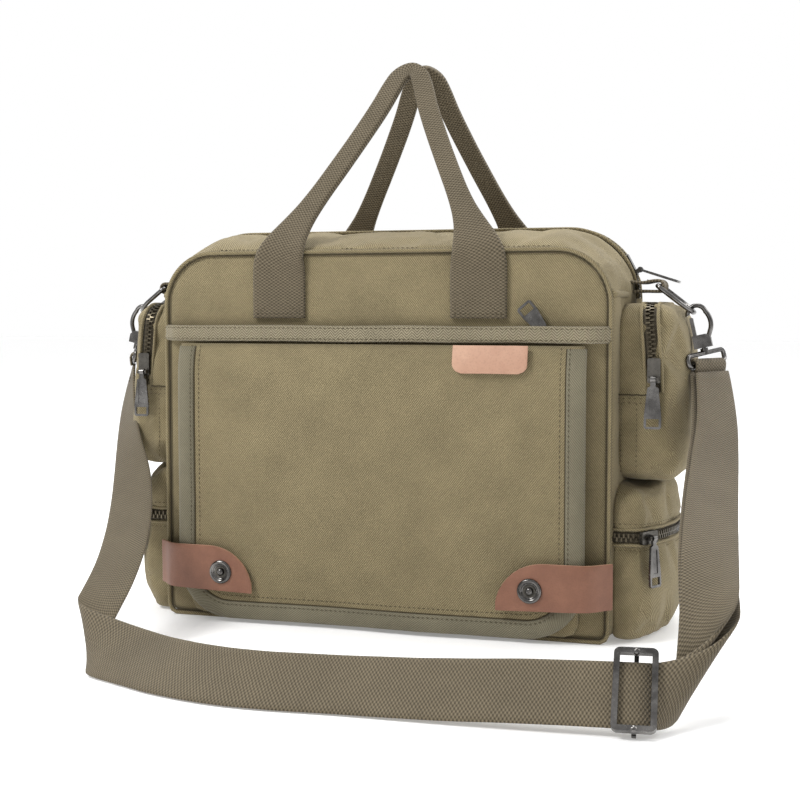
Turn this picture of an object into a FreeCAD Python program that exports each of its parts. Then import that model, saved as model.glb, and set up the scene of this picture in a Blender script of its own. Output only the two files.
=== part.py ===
import FreeCAD, Part
import math
import os

# Canvas messenger bag with a carrying flap, zipped side pockets, two grab handles and a
# shoulder strap. Millimetres; X runs to the bag's right as seen from the front, the front
# faces -Y, Z is up, and the origin is the centre of the base on the ground.

V = FreeCAD.Vector
X, Y, Z = V(1, 0, 0), V(0, 1, 0), V(0, 0, 1)
os.makedirs("parts", exist_ok=True)

# ---- driving dimensions -----------------------------------------------------------------
GAP = 0.3                  # clearance between separate pieces
CLOTH = 3.0                # canvas with its padding and lining
WEB = 38.0                 # width of the cotton webbing
WEB_T = 2.0                # thickness of the webbing

BODY_HALF_W = 158.0
FRONT_Y = 68.0             # half the depth of the bag
SEAM_TOP = 257.0           # top seam of the front and back panels
SEAM_R = 36.0              # its corner radius
CREST_HALF_W = 164.0       # the gusset swells towards the main zipper
CREST_TOP = 271.0
CREST_R = 46.0
GUSSET_FOOT = 220.0        # folded seam where the top gusset meets the side panel
TAPE_HALF = 7.7            # half the width of the main zipper tape

POUCH_HALF_W, POUCH_Y = 138.0, 74.6     # flat pocket under the flap
BAND_LOW, BAND_HIGH, BAND_Y = 195.5, 206.5, 76.5
FLAP_HALF_W, FLAP_LOW, FLAP_HIGH = 142.5, 3.5, 194.6
FLAP_IN, FLAP_OUT, FLAP_R = 75.2, 79.5, 38.0
BINDING_W = 11.5

TAB_LOW, TAB_HIGH, TAB_TIP_X, TAB_TIP_Z = 24.0, 54.0, 86.0, 22.0
TAB_Y, TAB_T = 82.0, 1.8
SNAP_X, SNAP_Z = 109.0, 36.0

HANDLE_X, PATCH_LOW, BEND_Z = 70.5, 211.0, 241.0
GRIP_HALF, FOLDED_T = 7.0, 5.6          # folded grip: half width and thickness
APEX_Z = 389.0

UP_LOW, UP_HIGH, UP_HALF_D, UP_X, UP_CROWN = 106.0, 220.0, 50.0, 187.0, 194.0
UP_R, UP_ZIP_X, UP_ZIP_LOW = 16.0, 183.0, 162.0
LOW_TOP, LOW_FRONT_Y, LOW_ZIP_Z = 104.0, 60.0, 70.0
LOW_ARC_X, LOW_ARC_R = 85.0, 108.0      # the outer face is an arc about this vertical axis
SLIDER_ANGLE = 30.0                     # where the lower slider stops, round that arc

LOOP_X, LOOP_Z, LOOP_HALF = 181.0, 233.0, 12.0
STRAP_Y = -12.0                         # the strap's loops sit a little in front of the zipper
RING_R = 1.6                            # radius of the ring and hook wire
RING_END = V(203.6, 0, 215.4)           # where the hook hangs in the D-ring
HOOK_X, HOOK_FOOT = 205.0, 191.0
HOOK_LEAN = 13.0                        # the pull of the strap leans the hook outwards
EYE_HALF, EYE_TOP, EYE_LOW, EYE_TURN = 21.5, 187.5, 180.0, 62.0


# ---- helpers ----------------------------------------------------------------------------
def save(name, shape):
    """One sub-part, one file."""
    shape.exportStep("parts/" + name + ".step")


def save_pair(name, right):
    """The right-hand piece and its mirror image on the left."""
    save(name + "_right", right)
    save(name + "_left", right.mirror(V(0, 0, 0), X))


def block(x0, x1, y0, y1, z0, z1):
    return Part.makeBox(x1 - x0, y1 - y0, z1 - z0, V(x0, y0, z0))


def rod(start, end, radius):
    return Part.makeCylinder(radius, (end - start).Length, start, end - start)


def prism(points, direction):
    """A straight-sided outline pushed along direction."""
    return Part.Face(Part.makePolygon(points + [points[0]])).extrude(direction)


def arch(half_w, low, top, radius, y):
    """Closed outline in the plane y: flat foot, upright sides and rounded top corners."""
    bend = radius * (1 - math.sqrt(0.5))
    edges = [
        Part.LineSegment(V(half_w, y, low), V(half_w, y, top - radius)),
        Part.Arc(V(half_w, y, top - radius), V(half_w - bend, y, top - bend),
                 V(half_w - radius, y, top)),
        Part.LineSegment(V(half_w - radius, y, top), V(radius - half_w, y, top)),
        Part.Arc(V(radius - half_w, y, top), V(bend - half_w, y, top - bend),
                 V(-half_w, y, top - radius)),
        Part.LineSegment(V(-half_w, y, top - radius), V(-half_w, y, low)),
        Part.LineSegment(V(-half_w, y, low), V(half_w, y, low)),
    ]
    return Part.Wire([e.toShape() for e in edges])


def loft(wires):
    """Solid through closed outlines, taken in the order that faces it outwards."""
    solid = Part.makeLoft(wires, True, True)
    return solid if solid.Volume > 0 else Part.makeLoft(wires[::-1], True, True)


def half_arch(half_w, low, top, radius, thick, y):
    """Outline of the right half of an arched strip's section in the plane y."""
    def corner(w, t, r):
        bend = r * (1 - math.sqrt(0.5))
        return Part.Arc(V(w, y, t - r), V(w - bend, y, t - bend), V(w - r, y, t))
    outer, inner = half_w, half_w - thick
    bend_x, bend_z = half_w - radius, top - radius
    edges = [
        Part.LineSegment(V(outer, y, low), V(outer, y, bend_z)),
        corner(outer, top, radius),
        Part.LineSegment(V(bend_x, y, top), V(0, y, top)),
        Part.LineSegment(V(0, y, top), V(0, y, top - thick)),
        Part.LineSegment(V(0, y, top - thick), V(bend_x, y, top - thick)),
        corner(inner, top - thick, radius - thick),
        Part.LineSegment(V(inner, y, bend_z), V(inner, y, low)),
        Part.LineSegment(V(inner, y, low), V(outer, y, low)),
    ]
    return Part.Wire([e.toShape() for e in edges])


def arch_strip(near, far, low, thick):
    """Strip that runs up one side, over the top and down the other, between two arches
    given as (half width, top, corner radius, y)."""
    half = loft([half_arch(w, low, t, r, thick, y) for w, t, r, y in (near, far)])
    return Part.makeCompound([half, half.mirror(V(0, 0, 0), X)])


def wire_piece(edges, radius):
    """Round wire bent along a path of lines and arcs."""
    path = Part.Wire([e.toShape() for e in edges])
    start = path.OrderedEdges[0]
    direction = start.tangentAt(start.FirstParameter)
    ring = Part.Circle(start.valueAt(start.FirstParameter), direction, radius)
    return path.makePipeShell([Part.Wire(ring.toShape())], True, True)


def placed(shape, origin, along, outward):
    """Moves a shape from its own axes (x along, z outward) to its place on the bag."""
    side = outward.cross(along)
    matrix = FreeCAD.Matrix(
        along.x, side.x, outward.x, origin.x,
        along.y, side.y, outward.y, origin.y,
        along.z, side.z, outward.z, origin.z,
        0, 0, 0, 1)
    return shape.transformed(matrix)


# ---- body of the bag --------------------------------------------------------------------
def body_panels():
    panel = Part.Face(arch(BODY_HALF_W - GAP, 0, SEAM_TOP, SEAM_R, -FRONT_Y))
    save("front_panel", panel.extrude(V(0, CLOTH, 0)))
    panel = Part.Face(arch(BODY_HALF_W - GAP, 0, SEAM_TOP, SEAM_R, FRONT_Y - CLOTH))
    save("back_panel", panel.extrude(V(0, CLOTH, 0)))
    depth = FRONT_Y - CLOTH - GAP
    inner = BODY_HALF_W - CLOTH
    save("bottom_panel", block(GAP - inner, inner - GAP, -depth, depth, 0, CLOTH))
    save("bottom_board", block(8 - inner, inner - 8, 6 - depth, depth - 6,
                               CLOTH + GAP, CLOTH + GAP + 2))
    save_pair("side_panel", block(inner, BODY_HALF_W, -depth, depth, 0, GUSSET_FOOT - GAP))
    seam = (BODY_HALF_W - GAP, SEAM_TOP, SEAM_R)
    crest = (CREST_HALF_W, CREST_TOP, CREST_R)
    tape = TAPE_HALF + GAP
    save("top_gusset_front",
         arch_strip(seam + (-depth,), crest + (-tape,), GUSSET_FOOT, CLOTH))
    save("top_gusset_rear",
         arch_strip(crest + (tape,), seam + (depth,), GUSSET_FOOT, CLOTH))
    chain = half_arch(CREST_HALF_W, GUSSET_FOOT, CREST_TOP, CREST_R, 2.0, -TAPE_HALF)
    chain = Part.Face(chain).extrude(V(0, 2 * TAPE_HALF, 0))
    save("main_zipper_chain", Part.makeCompound([chain, chain.mirror(V(0, 0, 0), X)]))


# ---- zipper slider and its pull -----------------------------------------------------------
# Slider sizes: half length, half width, body height, height of the bridge bar, bar radius.
FULL = (8.0, 4.2, 3.0, 5.6, 0.9)
SLIM = (4.6, 3.8, 1.8, 3.8, 0.7)          # hidden behind the front band
BAR_X = 5.5                               # the bridge bar's place along a full slider


def slider(size, bar_x=BAR_X, across=False):
    """Slider with a bridge for its pull. The pull hangs along x; across turns the body so
    that it runs along y instead."""
    length, width, height, bar_z, bar_r = size
    if across:
        length, width = width, length
    centre = bar_x if across else 0
    body = block(centre - length, centre + length, -width, width, GAP, height)
    body = body.makeFillet(1.2, [e for e in body.Edges if e.BoundBox.ZLength > 1])
    for y in (-3.0, 3.0):
        post = block(bar_x - 1.2, bar_x + 1.2, y - 0.6, y + 0.6, height - 0.5, bar_z + bar_r)
        body = body.fuse(post)
    return body.fuse(rod(V(bar_x, -3, bar_z), V(bar_x, 3, bar_z), bar_r)).removeSplitter()


def pull(size, lift, length, bar_x=BAR_X):
    """Flat tapered pull with a window near its end, turned up by lift degrees."""
    bar_z, bar_r = size[3:]
    thick = bar_r + 0.7
    half, low, high = 5.6, bar_z - thick / 2, bar_z + thick / 2
    end, neck = bar_x + length, bar_x + 5.5
    outline = [V(bar_x, -1.7, low), V(neck - 1, -1.7, low), V(neck, -3.6, low),
               V(end - 8, -half, low), V(end - 1.2, -half, low), V(end, 1.2 - half, low),
               V(end, half - 1.2, low), V(end - 1.2, half, low), V(end - 8, half, low),
               V(neck, 3.6, low), V(neck - 1, 1.7, low), V(bar_x, 1.7, low)]
    plate = prism(outline, V(0, 0, thick))
    plate = plate.fuse(rod(V(bar_x, -1.7, bar_z), V(bar_x, 1.7, bar_z), bar_r + 1.1))
    plate = plate.cut(rod(V(bar_x, -3, bar_z), V(bar_x, 3, bar_z), bar_r + 0.35))
    plate = plate.cut(block(end - 6.6, end - 1.6, -4, 4, low - 1, high + 1))
    panel = block(neck + 2, end - 9, -2.3, 2.3, high - 0.4, high + 1)
    plate = plate.cut(panel).removeSplitter()
    plate.rotate(V(bar_x, 0, bar_z), Y, -lift)
    return plate


# ---- zippers and pockets on the front -----------------------------------------------------
FRONT_ZIP_Z = 201.0
FRONT_SLIDER_X = 117.5
FRONT_PULL_TILT = 40.0


def front_pocket():
    low, top = 4.0, 168.0
    profile = [V(-POUCH_HALF_W, -FRONT_Y - GAP, low), V(-POUCH_HALF_W, -POUCH_Y, low),
               V(-POUCH_HALF_W, -POUCH_Y, top), V(-POUCH_HALF_W, -FRONT_Y - 1.6, 190),
               V(-POUCH_HALF_W, -FRONT_Y - GAP, 190)]
    save("front_pocket", prism(profile, V(2 * POUCH_HALF_W, 0, 0)))
    end, turn = BODY_HALF_W - 0.5, BODY_HALF_W - 10
    plan = [V(-end, -FRONT_Y - GAP, BAND_LOW), V(-turn, -BAND_Y, BAND_LOW),
            V(turn, -BAND_Y, BAND_LOW), V(end, -FRONT_Y - GAP, BAND_LOW),
            V(end - 4, -FRONT_Y - GAP, BAND_LOW), V(turn - 1, 1.5 - BAND_Y, BAND_LOW),
            V(1 - turn, 1.5 - BAND_Y, BAND_LOW), V(4 - end, -FRONT_Y - GAP, BAND_LOW)]
    save("front_band", prism(plan, V(0, 0, BAND_HIGH - BAND_LOW)))
    save("front_zipper_chain", block(-136, 136, -FRONT_Y - 1.4, -FRONT_Y - GAP,
                                     FRONT_ZIP_Z - 5, FRONT_ZIP_Z + 5))
    tilt = math.radians(FRONT_PULL_TILT)
    up = V(-math.sin(tilt), 0, math.cos(tilt))
    base = V(FRONT_SLIDER_X, -FRONT_Y - 1.4, FRONT_ZIP_Z)
    save("front_slider", placed(slider(SLIM, 0), base, up, -Y))
    save("front_pull", placed(pull(SLIM, 0, 25.5, 0), base, up, -Y))


def flap():
    def outline(grow, y):
        """Flap outline in XZ, with round lower corners, shrunk by -grow at three sides."""
        w, r, low = FLAP_HALF_W + grow, FLAP_R + grow, FLAP_LOW - grow
        bend = r * (1 - math.sqrt(0.5))
        top = FLAP_HIGH
        edges = [
            Part.LineSegment(V(-w, y, top), V(-w, y, low + r)),
            Part.Arc(V(-w, y, low + r), V(bend - w, y, low + bend), V(r - w, y, low)),
            Part.LineSegment(V(r - w, y, low), V(w - r, y, low)),
            Part.Arc(V(w - r, y, low), V(w - bend, y, low + bend), V(w, y, low + r)),
            Part.LineSegment(V(w, y, low + r), V(w, y, top)),
            Part.LineSegment(V(w, y, top), V(-w, y, top)),
        ]
        return Part.Face(Part.Wire([e.toShape() for e in edges]))

    slab = outline(0, -FLAP_OUT - 2).extrude(V(0, 10, 0))
    side = FLAP_HALF_W + 5
    profile = [V(-side, -FLAP_IN, 0), V(-side, -FLAP_IN, 182), V(-side, -73.9, FLAP_HIGH),
               V(-side, -76.2, FLAP_HIGH), V(-side, -FLAP_OUT, 184), V(-side, -FLAP_OUT, 0)]
    save("flap_panel", slab.common(prism(profile, V(2 * side, 0, 0))))
    border = outline(0, -FLAP_OUT - 0.9).cut(outline(-BINDING_W, -FLAP_OUT - 0.9))
    border = border.extrude(V(0, 0.9, 0))
    save("flap_binding", border.common(block(-200, 200, -90, -60, 0, 183.5)))
    studs = []
    for x in (-SNAP_X, SNAP_X):
        stud = rod(V(x, -FLAP_OUT, SNAP_Z), V(x, -FLAP_OUT - 1.6, SNAP_Z), 5.5)
        studs.append(stud.fuse(rod(V(x, -FLAP_OUT - 1, SNAP_Z), V(x, -FLAP_OUT - 4.6, SNAP_Z), 2)))
    save("snap_studs", Part.makeCompound(studs))
    bend = [V(56, -76.5, 193.8), V(56, -FLAP_OUT - 0.2, 184.1), V(56, -FLAP_OUT - 0.2, 176),
            V(56, -FLAP_OUT - 1.8, 176), V(56, -FLAP_OUT - 1.8, 184.4), V(56, -78.1, 193.8)]
    label = prism(bend, V(50, 0, 0))
    corners = [e for e in label.Edges if e.BoundBox.YLength > 1 and e.BoundBox.ZMax < 177]
    save("leather_label", label.makeFillet(6, corners))


def leather_tab():
    y = -TAB_Y
    plan = [V(159.6, -70.2, 0), V(157, -71.2, 0), V(147, y, 0), V(80, y, 0),
            V(80, y - TAB_T, 0), V(148, y - TAB_T, 0), V(160, -72.4, 0)]
    strap = prism(plan, V(0, 0, 80))
    side = Part.Wire([
        Part.LineSegment(V(165, -100, TAB_LOW), V(TAB_TIP_X, -100, TAB_TIP_Z)).toShape(),
        Part.Arc(V(TAB_TIP_X, -100, TAB_TIP_Z), V(96, -100, 44), V(120, -100, TAB_HIGH)).toShape(),
        Part.LineSegment(V(120, -100, TAB_HIGH), V(165, -100, TAB_HIGH)).toShape(),
        Part.LineSegment(V(165, -100, TAB_HIGH), V(165, -100, TAB_LOW)).toShape(),
    ])
    tab = strap.common(Part.Face(side).extrude(V(0, 40, 0)))
    hole = rod(V(SNAP_X, -90, SNAP_Z), V(SNAP_X, -60, SNAP_Z), 3.2)
    save_pair("leather_tab", tab.cut(hole))
    rim = Part.makeTorus(5.6, 1.9, V(SNAP_X, y - TAB_T, SNAP_Z), Y)
    rim = rim.common(block(90, 130, -90, y - TAB_T, 20, 60))
    save_pair("snap_ring", rim.cut(hole))


# ---- side pockets -------------------------------------------------------------------------
def upper_outline(x, grow):
    """Side view of an upper pocket in the plane x, rounded at all four corners."""
    half, low, high = UP_HALF_D + grow, UP_LOW - grow, UP_HIGH + grow
    face = Part.Face(Part.makePolygon([V(x, -half, low), V(x, half, low), V(x, half, high),
                                       V(x, -half, high), V(x, -half, low)]))
    solid = face.extrude(V(1, 0, 0))
    solid = solid.makeFillet(UP_R + grow, [e for e in solid.Edges if e.BoundBox.XLength > 0.9])
    return [f for f in solid.Faces if f.BoundBox.XMax < x + 0.01][0]


def upper_pocket():
    base = upper_outline(BODY_HALF_W + GAP, 0).extrude(V(UP_X - BODY_HALF_W - GAP, 0, 0))
    crown = loft([upper_outline(UP_X, 0).OuterWire, upper_outline(UP_CROWN, -9).OuterWire])
    save_pair("upper_pocket", base.fuse(crown).removeSplitter())
    outer = upper_outline(UP_ZIP_X - 3.2, 1.2).extrude(V(6.4, 0, 0))
    inner = upper_outline(UP_ZIP_X - 4, 0.05).extrude(V(8, 0, 0))
    chain = outer.cut(inner).common(block(150, 220, -60, 60, UP_ZIP_LOW, 240))
    save_pair("upper_zipper_chain", chain)
    base = V(UP_ZIP_X, -UP_HALF_D - 1.2, 178)
    save_pair("upper_slider", placed(slider(FULL), base, -Z, -Y))
    save_pair("upper_pull", placed(pull(FULL, 2, 32), base, -Z, -Y))


def lower_plan(radius, front, z):
    """Plan of a lower pocket: straight front and rear, and an outer face that is an arc."""
    half = math.asin(front / radius)
    corner = V(LOW_ARC_X + radius * math.cos(half), -front, z)
    back = V(corner.x, front, z)
    inner = BODY_HALF_W + GAP
    return Part.Wire([
        Part.LineSegment(V(inner, -front, z), corner).toShape(),
        Part.Arc(corner, V(LOW_ARC_X + radius, 0, z), back).toShape(),
        Part.LineSegment(back, V(inner, front, z)).toShape(),
        Part.LineSegment(V(inner, front, z), V(inner, -front, z)).toShape(),
    ])


def lower_pocket():
    shoulder = LOW_TOP - 14
    body = loft([lower_plan(LOW_ARC_R, LOW_FRONT_Y, 0),
                 lower_plan(LOW_ARC_R, LOW_FRONT_Y, shoulder),
                 lower_plan(LOW_ARC_R - 9, LOW_FRONT_Y - 6, LOW_TOP)])
    save_pair("lower_pocket", body)
    outer, inner = [
        Part.Face(lower_plan(LOW_ARC_R + d, LOW_FRONT_Y + d, LOW_ZIP_Z - 3.2)).extrude(Z * 6.4)
        for d in (1.2, 0.05)]
    save_pair("lower_zipper_chain", outer.cut(inner).common(block(160, 220, -70, 50, 0, 90)))
    turn = math.radians(SLIDER_ANGLE)
    outward = V(math.cos(turn), -math.sin(turn), 0)
    base = V(LOW_ARC_X, 0, LOW_ZIP_Z) + outward * (LOW_ARC_R + 1.4)
    save_pair("lower_slider", placed(slider(FULL, across=True), base + Z * BAR_X, -Z, outward))
    save_pair("lower_pull", placed(pull(FULL, 3, 32), base + Z * BAR_X, -Z, outward))


def main_slider():
    turn = math.radians(28)
    outward = V(math.cos(turn), 0, math.sin(turn))
    down = V(math.sin(turn), 0, -math.cos(turn))
    base = V(CREST_HALF_W - CREST_R, 0, CREST_TOP - CREST_R) + outward * (CREST_R + 0.1)
    save("main_slider", placed(slider(FULL), base, down, outward))
    save("main_pull", placed(pull(FULL, 44, 28), base, down, outward))


# ---- handles ------------------------------------------------------------------------------
def ribbon(stations):
    """Flat webbing through stations (centre, half width vector, thickness)."""
    wires = []
    for i, (centre, half, thick) in enumerate(stations):
        before = stations[max(i - 1, 0)][0]
        after = stations[min(i + 1, len(stations) - 1)][0]
        flat = (after - before).cross(half).normalize() * (thick / 2)
        corners = [centre + half + flat, centre - half + flat,
                   centre - half - flat, centre + half - flat]
        wires.append(Part.makePolygon(corners + [corners[0]]))
    return loft(wires)


def handle_stations(apex_x):
    """Front handle, foot to foot. It stands up the panel, then leans back to meet its twin
    over the zipper; the webbing is 38 wide at the feet and folded in half at the grip."""
    legs = [(241.6, 70.5, WEB / 2, WEB_T), (250, 70.3, WEB / 2, WEB_T),
            (259, 68.4, 16.5, 2.6), (274, 61.5, 10.8, 4.0), (290, 52.5, GRIP_HALF, FOLDED_T),
            (325, 33.5, GRIP_HALF, FOLDED_T), (357, 17.5, GRIP_HALF, FOLDED_T),
            (373, 11.5, GRIP_HALF, FOLDED_T), (382, 7, 6.6, FOLDED_T)]
    lean = (FRONT_Y - 3.6) / (APEX_Z - 258)
    points = []
    for side, rows in ((-1, legs), (1, legs[::-1])):
        for z, x, half, thick in rows:
            y = -70.6 + max(0, z - 258) * lean
            shift = apex_x * (z - BEND_Z) / (APEX_Z - BEND_Z)
            points.append((V(side * x + shift, y, z), half, thick))
        if side < 0:
            points.append((V(apex_x, -70.6 + (APEX_Z - 258) * lean, APEX_Z - 3), 6.4, FOLDED_T))
    out = []
    for i, (centre, half, thick) in enumerate(points):
        before = points[max(i - 1, 0)][0]
        after = points[min(i + 1, len(points) - 1)][0]
        along = (after - before).normalize()
        normal = V(0, -1, lean if centre.z > 258 else 0).normalize()
        out.append((centre, along.cross(normal).normalize() * half, thick))
    return out


def handles():
    for name, side, apex_x in (("front", -1, 5.0), ("rear", 1, 11.0)):
        stations = handle_stations(apex_x)
        if side > 0:
            stations = [(V(c.x, -c.y, c.z), V(h.x, -h.y, h.z), t) for c, h, t in stations]
        save(name + "_handle", ribbon(stations))
        y = side * (FRONT_Y + GAP + WEB_T / 2)
        patches = [block(x - WEB / 2, x + WEB / 2, y - WEB_T / 2, y + WEB_T / 2,
                         PATCH_LOW, BEND_Z - 2) for x in (-HANDLE_X, HANDLE_X)]
        save(name + "_handle_patches", Part.makeCompound(patches))


# ---- strap hardware -----------------------------------------------------------------------
def save_hardware(name, shape):
    shape.translate(Y * STRAP_Y)
    save_pair(name, shape)


def side_loop_and_ring():
    bar = V(LOOP_X, 0, LOOP_Z)
    loop = block(CREST_HALF_W + GAP, LOOP_X, -LOOP_HALF, LOOP_HALF, LOOP_Z - 2, LOOP_Z + 2)
    loop = loop.fuse(rod(bar - Y * LOOP_HALF, bar + Y * LOOP_HALF, 3.5))
    hole = rod(bar - Y * 20, bar + Y * 20, RING_R + GAP)
    save_hardware("side_loop", loop.cut(hole).removeSplitter())
    reach = (RING_END - bar).Length
    out = (RING_END - bar).normalize()
    half = 13.6
    corner, knee = 3.0, reach - half
    bend = corner * (1 - math.sqrt(0.5))
    side = [bar + Y * (corner - half), bar + Y * (bend - half) + out * bend,
            bar - Y * half + out * corner, bar - Y * half + out * knee]
    other = [V(p.x, -p.y, p.z) for p in side]
    ring = wire_piece([
        Part.Arc(*side[:3]), Part.LineSegment(side[2], side[3]),
        Part.Arc(side[3], RING_END, other[3]), Part.LineSegment(other[3], other[2]),
        Part.Arc(other[2], other[1], other[0]), Part.LineSegment(other[0], side[0]),
    ], RING_R)
    save_hardware("d_ring", ring)


def save_hook(name, shape):
    """Hook pieces are made upright and then leaned about the D-ring."""
    shape.rotate(RING_END, Y, -HOOK_LEAN)
    save_hardware(name, shape)


def snap_hook():
    x, foot_z = HOOK_X, HOOK_FOOT
    pivot = V(x - 4, 0, foot_z + 7.2)
    wire = wire_piece([
        Part.LineSegment(V(x + 3.6, 0, foot_z + 5), V(x + 7.0, 0, foot_z + 11.5)),
        Part.Arc(V(x + 7.0, 0, foot_z + 11.5), V(x + 7.9, 0, foot_z + 18),
                 V(x + 6.0, 0, foot_z + 23.5)),
        Part.Arc(V(x + 6.0, 0, foot_z + 23.5), V(x + 0.2, 0, foot_z + 28.6),
                 V(x - 5.9, 0, foot_z + 22.8)),
    ], RING_R)
    foot = prism([V(x - 6, -3.2, foot_z), V(x + 6, -3.2, foot_z), V(x + 6, -3.2, foot_z + 6),
                  V(x + 3, -3.2, foot_z + 9), V(x - 1.6, -3.2, foot_z + 9),
                  V(x - 1.6, -3.2, foot_z + 5.4), V(x - 6, -3.2, foot_z + 5.4)], Y * 6.4)
    for y in (-3.2, 2.0):
        foot = foot.fuse(block(x - 6, x - 1.6, y, y + 1.2, foot_z + 5, foot_z + 9))
    foot = foot.fuse(rod(pivot - Y * 3.6, pivot + Y * 3.6, 0.8))
    foot = foot.cut(rod(V(x, 0, foot_z - 1), V(x, 0, foot_z + 2.4), 1.5 + GAP))
    foot = foot.cut(rod(V(x, 0, foot_z + 1.6), V(x, 0, foot_z + 4.6), 2.6 + GAP))
    save_hook("snap_hook", foot.fuse(wire).removeSplitter())
    gate = block(x - 5.2, x - 2.8, -1.6, 1.6, foot_z + 5.8, foot_z + 21.2)
    gate = gate.makeFillet(1.0, [e for e in gate.Edges if e.BoundBox.YLength > 3])
    save_hook("hook_gate", gate.cut(rod(pivot - Y * 3, pivot + Y * 3, 1.05)))


def swivel_eye():
    """Rectangular eye for the strap, turned towards the front, on a pin held in the hook."""
    across = V(math.cos(math.radians(EYE_TURN)), math.sin(math.radians(EYE_TURN)), 0)
    top, low = V(HOOK_X, 0, EYE_TOP), V(HOOK_X, 0, EYE_LOW)
    r = 3.0
    bend = r * (1 - math.sqrt(0.5))
    sides = []
    for s in (-1, 1):
        end, inset, mid = across * s * EYE_HALF, across * s * -r, across * s * -bend
        sides.append([top + end + inset, top + end + mid - Z * bend, top + end - Z * r,
                      low + end + Z * r, low + end + mid + Z * bend, low + end + inset])
    a, b = sides
    eye = wire_piece([
        Part.LineSegment(b[0], a[0]), Part.Arc(a[0], a[1], a[2]), Part.LineSegment(a[2], a[3]),
        Part.Arc(a[3], a[4], a[5]), Part.LineSegment(a[5], b[5]), Part.Arc(b[5], b[4], b[3]),
        Part.LineSegment(b[3], b[2]), Part.Arc(b[2], b[1], b[0]),
    ], RING_R)
    pin = rod(top, V(HOOK_X, 0, HOOK_FOOT + 3), 1.5)
    head = rod(V(HOOK_X, 0, HOOK_FOOT + 2), V(HOOK_X, 0, HOOK_FOOT + 4.2), 2.6)
    collar = rod(top - Z, V(HOOK_X, 0, HOOK_FOOT - GAP), 2.6)
    save_hook("swivel_eye", eye.fuse(pin).fuse(head).fuse(collar).removeSplitter())


# ---- shoulder strap -----------------------------------------------------------------------
# The webbing leaves the left eye, comes down and forward to the ground, turns over at a soft
# fold, runs along the front standing on its edge and leaning back, passes the slide buckle,
# turns up at a second fold to the right eye, and comes back down, doubled, to the buckle.
# Each row is (point on the centre line, half width vector towards the ground-side edge).
STRAP_LEFT = [
    (V(-212.9, -13, 176), V(8.9, -16.8, 0)),
    (V(-213, -22, 152), V(12, -14.6, 2)),
    (V(-203, -42, 124), V(15, -11, 4)),
    (V(-181, -76, 97), V(17.5, -4, 5)),
    (V(-161, -118, 71), V(18.2, -2, 3)),
    (V(-148, -158, 50), V(18, -4, -1)),
    (V(-142, -194, 33), V(16, -10, -8)),
    (V(-141, -216, 18.5), V(13, -13.5, -16)),
    (V(-122, -226, 15.5), V(-4, -13, -14)),
    (V(-96, -235.6, 13.6), V(-8.5, -12, -12.4)),
    (V(-62, -250.6, 13.4), V(-5, -13.8, -12.2)),
    (V(-16, -259.6, 13.4), V(-1, -14.6, -12.2)),
    (V(42, -253.5, 13.4), V(1.6, -14.6, -12.2)),
    (V(98, -253, 15.2), V(1.6, -13.8, -13)),
    (V(150, -251, 18.6), V(1.6, -13.1, -13.7)),
    (V(209, -245.4, 19), V(1.6, -13.1, -13.7)),
]
STRAP_RIGHT = [
    (V(209, -245.4, 19), V(1.6, -13.1, -13.7)),
    (V(223, -238, 19.3), V(-5, -12.5, -16)),
    (V(235, -219, 28), V(-14, -11, -22)),
    (V(234, -203, 49), V(-15, -9, -9)),
    (V(228, -166, 73), V(-15.2, -8, 5)),
    (V(224, -120, 95), V(-14.4, -10.5, 6)),
    (V(221.5, -74, 119), V(-13.2, -12.5, 5)),
    (V(219.5, -36, 148), V(-11, -15.3, 2)),
    (V(212.9, -14, 176), V(-9, -16.7, 0)),
]
# The doubled layer lies against the same face of the webbing, from the buckle to the eye:
# behind it along the ground and, once the strap has turned over, in front of it.
STRAP_RETURN = [
    (V(213, -239.6, 18), V(0.5, -12.9, -13.7)),
    (V(219.4, -233.4, 18.4), V(-5, -12.5, -16)),
    (V(230.6, -220.9, 31.9), V(-14, -11, -22)),
    (V(233.6, -206.9, 53.6), V(-15, -9, -9)),
    (V(230.1, -167.8, 76.8), V(-15.2, -8, 5)),
    (V(226.6, -121.6, 98.6), V(-14.4, -10.5, 6)),
    (V(224.4, -75.9, 122.2), V(-13.2, -12.5, 5)),
    (V(222.8, -38, 150.6), V(-11, -15.3, 2)),
    (V(216.6, -16.2, 176), V(-9, -16.7, 0)),
]


def routed(rows):
    """Straight runs joined by tangent arcs as large as the runs allow. Gives the stations
    along them, and prints each arc's radius and the length of the whole route."""
    stations = [(rows[0][0], rows[0][1], WEB_T)]
    radii = []
    length = 0
    leave = rows[0][0]
    for (a, _), (b, half), (c, _) in zip(rows, rows[1:], rows[2:]):
        into, out = (b - a), (c - b)
        run = min(into.Length, out.Length)
        turn = into.getAngle(out)
        radius = 0.45 * run / math.tan(turn / 2)
        radii.append(round(radius))
        cut = 0.45 * run
        start, end = b - into.normalize() * cut, b + out.normalize() * cut
        centre_way = (end + start) * 0.5 - b
        centre = b + centre_way.normalize() * (radius / math.cos(turn / 2))
        length += (start - leave).Length + radius * turn
        leave = end
        for k in (0.0, 0.33, 0.67, 1.0):
            chord = start + (end - start) * k
            point = centre + (chord - centre).normalize() * radius
            stations.append((point, half, WEB_T))
    stations.append((rows[-1][0], rows[-1][1], WEB_T))
    length += (rows[-1][0] - leave).Length
    print("strap route: length %.0f, radii %s" % (length, radii))
    return smooth_halves(stations, rows)


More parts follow.
